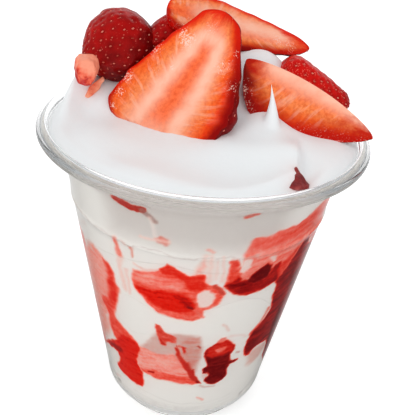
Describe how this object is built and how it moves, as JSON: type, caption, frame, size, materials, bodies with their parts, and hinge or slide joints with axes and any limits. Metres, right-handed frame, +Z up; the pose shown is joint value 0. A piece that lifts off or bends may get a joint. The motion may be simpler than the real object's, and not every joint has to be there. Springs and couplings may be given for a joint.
{
  "type": "cup of strawberries and cream",
  "caption": "Clear flared plastic cup filled to the rim with alternating cream and crushed strawberry, topped with a whipped mound, strawberry halves, slices and pieces.",
  "frame": {"origin": "centre of the underside of the cup's foot ring, where it rests", "axes": "+Z up along the cup's axis, -Y towards the side that the picture shows, +X to the right of that view"},
  "size_m": [0.0988, 0.0988, 0.1349],
  "materials": {
    "clear_plastic": "thin clear plastic, glossy",
    "cream": "smooth soft cream, slightly glossy",
    "crushed_strawberry": "wet crushed fruit behind the wall",
    "strawberry_flesh": "wet cut flesh, paler at the core, with a red skin edge",
    "strawberry_skin": "shiny dark red skin with pale seeds"
  },
  "bodies": {
    "root": {"cup": "clear_plastic", "cream_bottom": "cream", "strawberry_layer_lower": "crushed_strawberry", "cream_middle": "cream", "strawberry_layer_upper": "crushed_strawberry", "cream_top": "cream", "strawberry_wall_dark": "crushed_strawberry", "strawberry_wall_pale": "crushed_strawberry", "strawberry_wall_upper": "crushed_strawberry", "strawberry_wall_sliver": "crushed_strawberry", "strawberry_front_half": "strawberry_flesh", "strawberry_right_slice": "strawberry_flesh", "strawberry_top_slice": "strawberry_flesh", "strawberry_left": "strawberry_skin", "strawberry_back_left": "strawberry_skin", "strawberry_right_back": "strawberry_skin", "strawberry_chunk": "strawberry_flesh", "strawberry_flake": "strawberry_flesh", "strawberry_rim_piece": "strawberry_flesh"}
  },
  "joints": []
}
